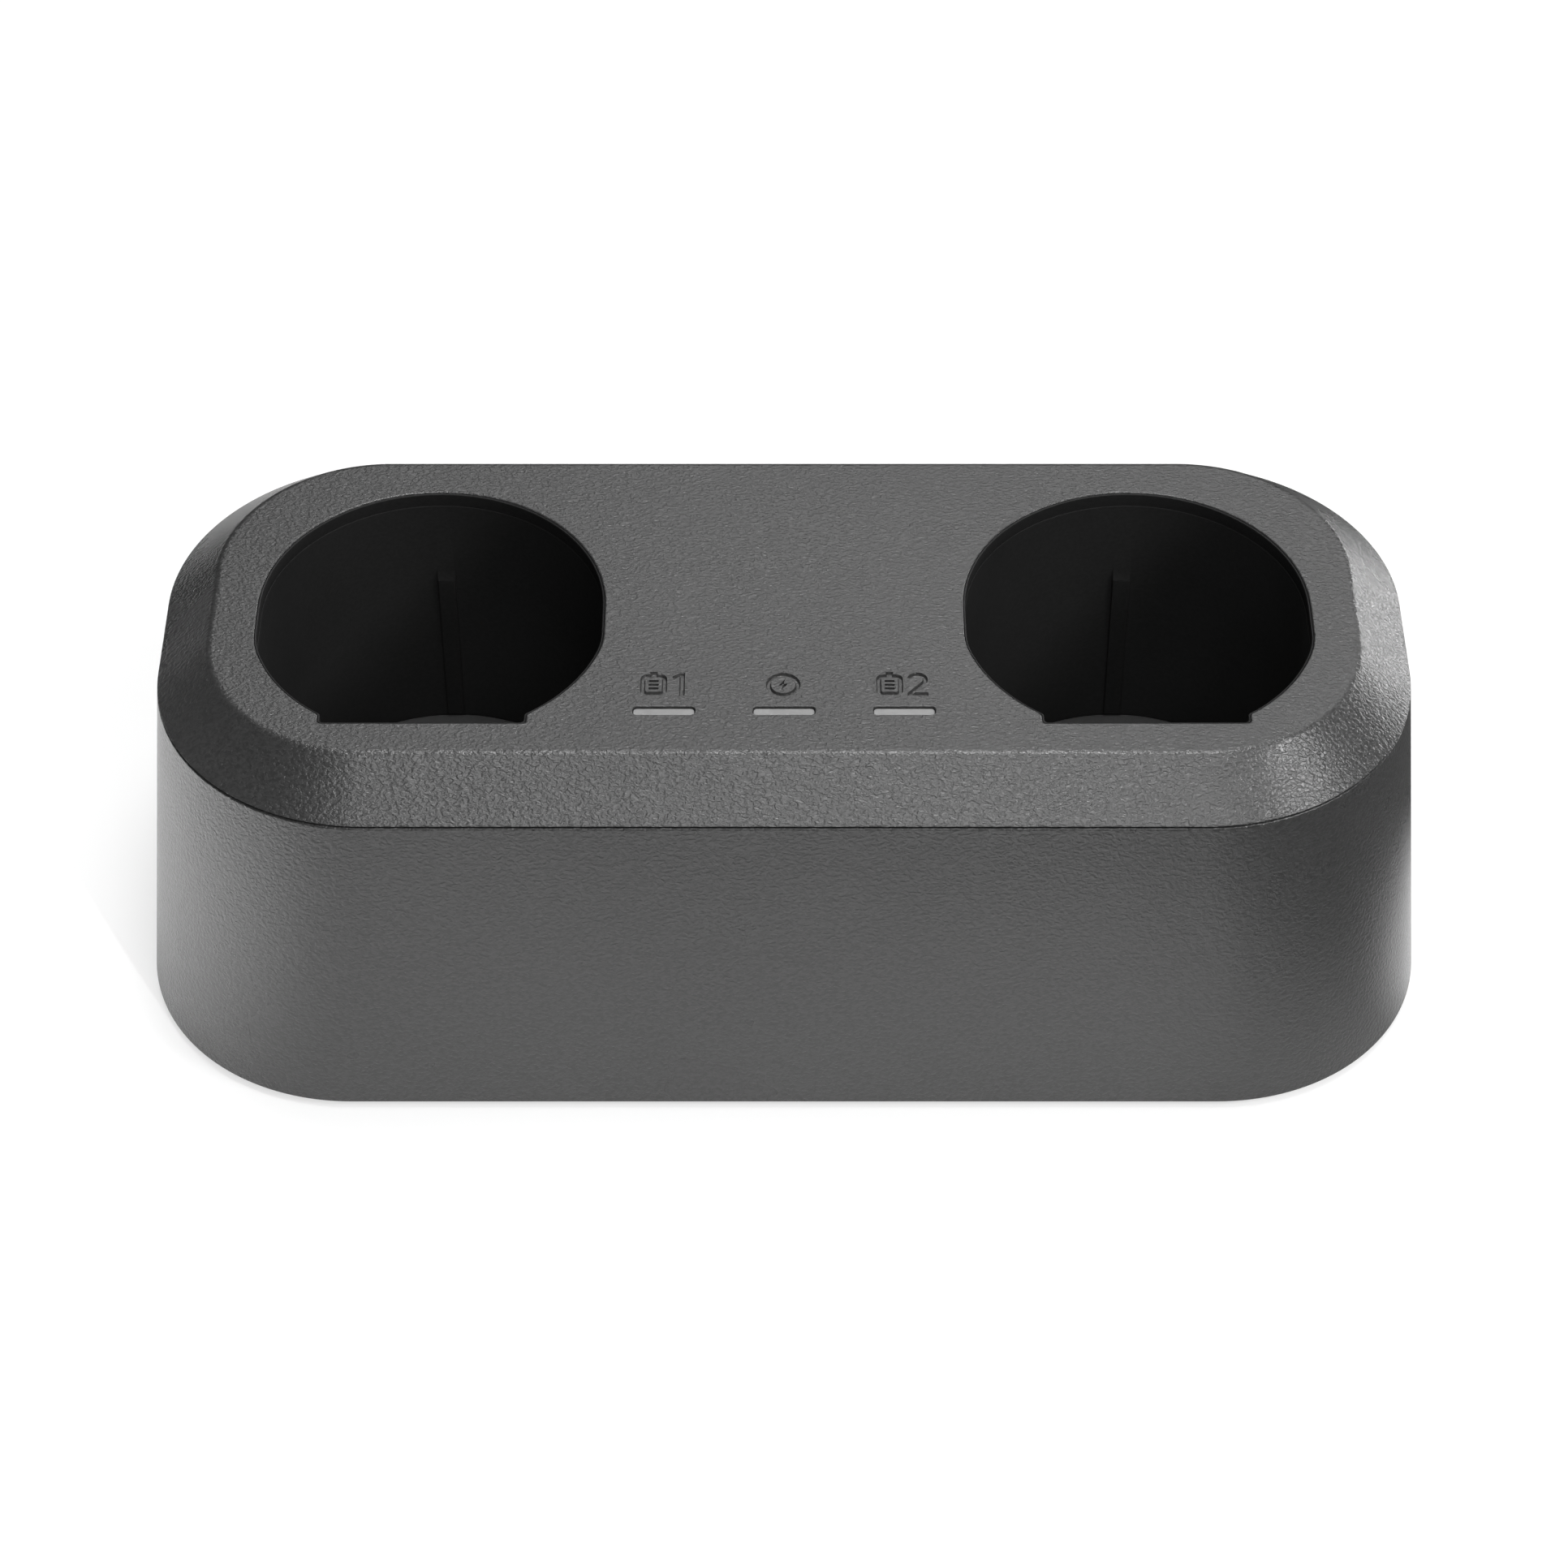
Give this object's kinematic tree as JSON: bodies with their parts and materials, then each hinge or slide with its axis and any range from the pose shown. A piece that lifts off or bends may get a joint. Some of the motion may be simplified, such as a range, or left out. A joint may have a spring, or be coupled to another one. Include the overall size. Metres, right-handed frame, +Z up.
{
  "type": "battery charging dock",
  "caption": "Low desktop charging dock in grained grey plastic: keyed black wells for round battery packs, with sprung contacts in their floors and slim status windows between.",
  "frame": {"origin": "centre of the dock's footprint, on the surface its feet stand on", "axes": "+X along the row of wells to the right, +Y to the back with the power socket, +Z up"},
  "size_m": [0.1684, 0.0776, 0.0533],
  "materials": {
    "housing": "fine moulded grain",
    "liner": "smooth black",
    "well_floor": "smooth dark grey",
    "contact": "gold plated",
    "steel": "zinc plated",
    "light_pipe": "frosted translucent",
    "led": "clear resin",
    "laminate": "solder mask",
    "ribbon": "vinyl",
    "nylon": "natural",
    "epoxy": "moulded",
    "ferrite": "ferrite with copper winding",
    "capacitor_sleeve": "shrink sleeve",
    "heat_sink": "bare extrusion",
    "rubber": "matte"
  },
  "bodies": {
    "dock": {"top_cover": "housing", "body_shell": "housing", "base_plate": "housing", "battery_cup_left": "liner", "battery_cup_right": "liner", "contact_block_left": "well_floor", "contact_block_right": "well_floor", "contact_spring_left_plus": "steel", "contact_spring_left_sense": "steel", "contact_spring_left_minus": "steel", "contact_spring_right_plus": "steel", "contact_spring_right_sense": "steel", "contact_spring_right_minus": "steel", "light_pipe_left": "light_pipe", "light_pipe_centre": "light_pipe", "light_pipe_right": "light_pipe", "status_led_left": "led", "status_led_centre": "led", "status_led_right": "led", "indicator_board": "laminate", "indicator_screw_left": "steel", "indicator_screw_right": "steel", "indicator_ribbon": "ribbon", "ribbon_socket_upper": "nylon", "ribbon_socket_lower": "nylon", "main_board": "laminate", "board_screw_1": "steel", "board_screw_2": "steel", "board_screw_3": "steel", "board_screw_4": "steel", "charge_controller": "epoxy", "charge_inductor_left": "ferrite", "charge_inductor_right": "ferrite", "filter_capacitor_left": "capacitor_sleeve", "filter_capacitor_right": "capacitor_sleeve", "heat_sink": "heat_sink", "dc_inlet": "epoxy", "dc_inlet_pin": "steel", "base_screw_1": "steel", "base_screw_2": "steel", "base_screw_3": "steel", "base_screw_4": "steel", "foot_1": "rubber", "foot_2": "rubber", "foot_3": "rubber", "foot_4": "rubber"},
    "left_plus_contact": {"contact_pin_left_plus": "contact"},
    "left_sense_contact": {"contact_pin_left_sense": "contact"},
    "left_minus_contact": {"contact_pin_left_minus": "contact"},
    "right_plus_contact": {"contact_pin_right_plus": "contact"},
    "right_sense_contact": {"contact_pin_right_sense": "contact"},
    "right_minus_contact": {"contact_pin_right_minus": "contact"}
  },
  "joints": [
    {"name": "left_plus_travel", "type": "slide", "parent": "dock", "child": "left_plus_contact", "axis": [0, 0, 1], "range_m": [-0.0018, 0], "stiffness_N_per_m": 350, "springref_m": 0.001, "deforming": ["contact_spring_left_plus"]},
    {"name": "left_sense_travel", "type": "slide", "parent": "dock", "child": "left_sense_contact", "axis": [0, 0, 1], "range_m": [-0.0018, 0], "stiffness_N_per_m": 350, "springref_m": 0.001, "deforming": ["contact_spring_left_sense"]},
    {"name": "left_minus_travel", "type": "slide", "parent": "dock", "child": "left_minus_contact", "axis": [0, 0, 1], "range_m": [-0.0018, 0], "stiffness_N_per_m": 350, "springref_m": 0.001, "deforming": ["contact_spring_left_minus"]},
    {"name": "right_plus_travel", "type": "slide", "parent": "dock", "child": "right_plus_contact", "axis": [0, 0, 1], "range_m": [-0.0018, 0], "stiffness_N_per_m": 350, "springref_m": 0.001, "deforming": ["contact_spring_right_plus"]},
    {"name": "right_sense_travel", "type": "slide", "parent": "dock", "child": "right_sense_contact", "axis": [0, 0, 1], "range_m": [-0.0018, 0], "stiffness_N_per_m": 350, "springref_m": 0.001, "deforming": ["contact_spring_right_sense"]},
    {"name": "right_minus_travel", "type": "slide", "parent": "dock", "child": "right_minus_contact", "axis": [0, 0, 1], "range_m": [-0.0018, 0], "stiffness_N_per_m": 350, "springref_m": 0.001, "deforming": ["contact_spring_right_minus"]}
  ]
}
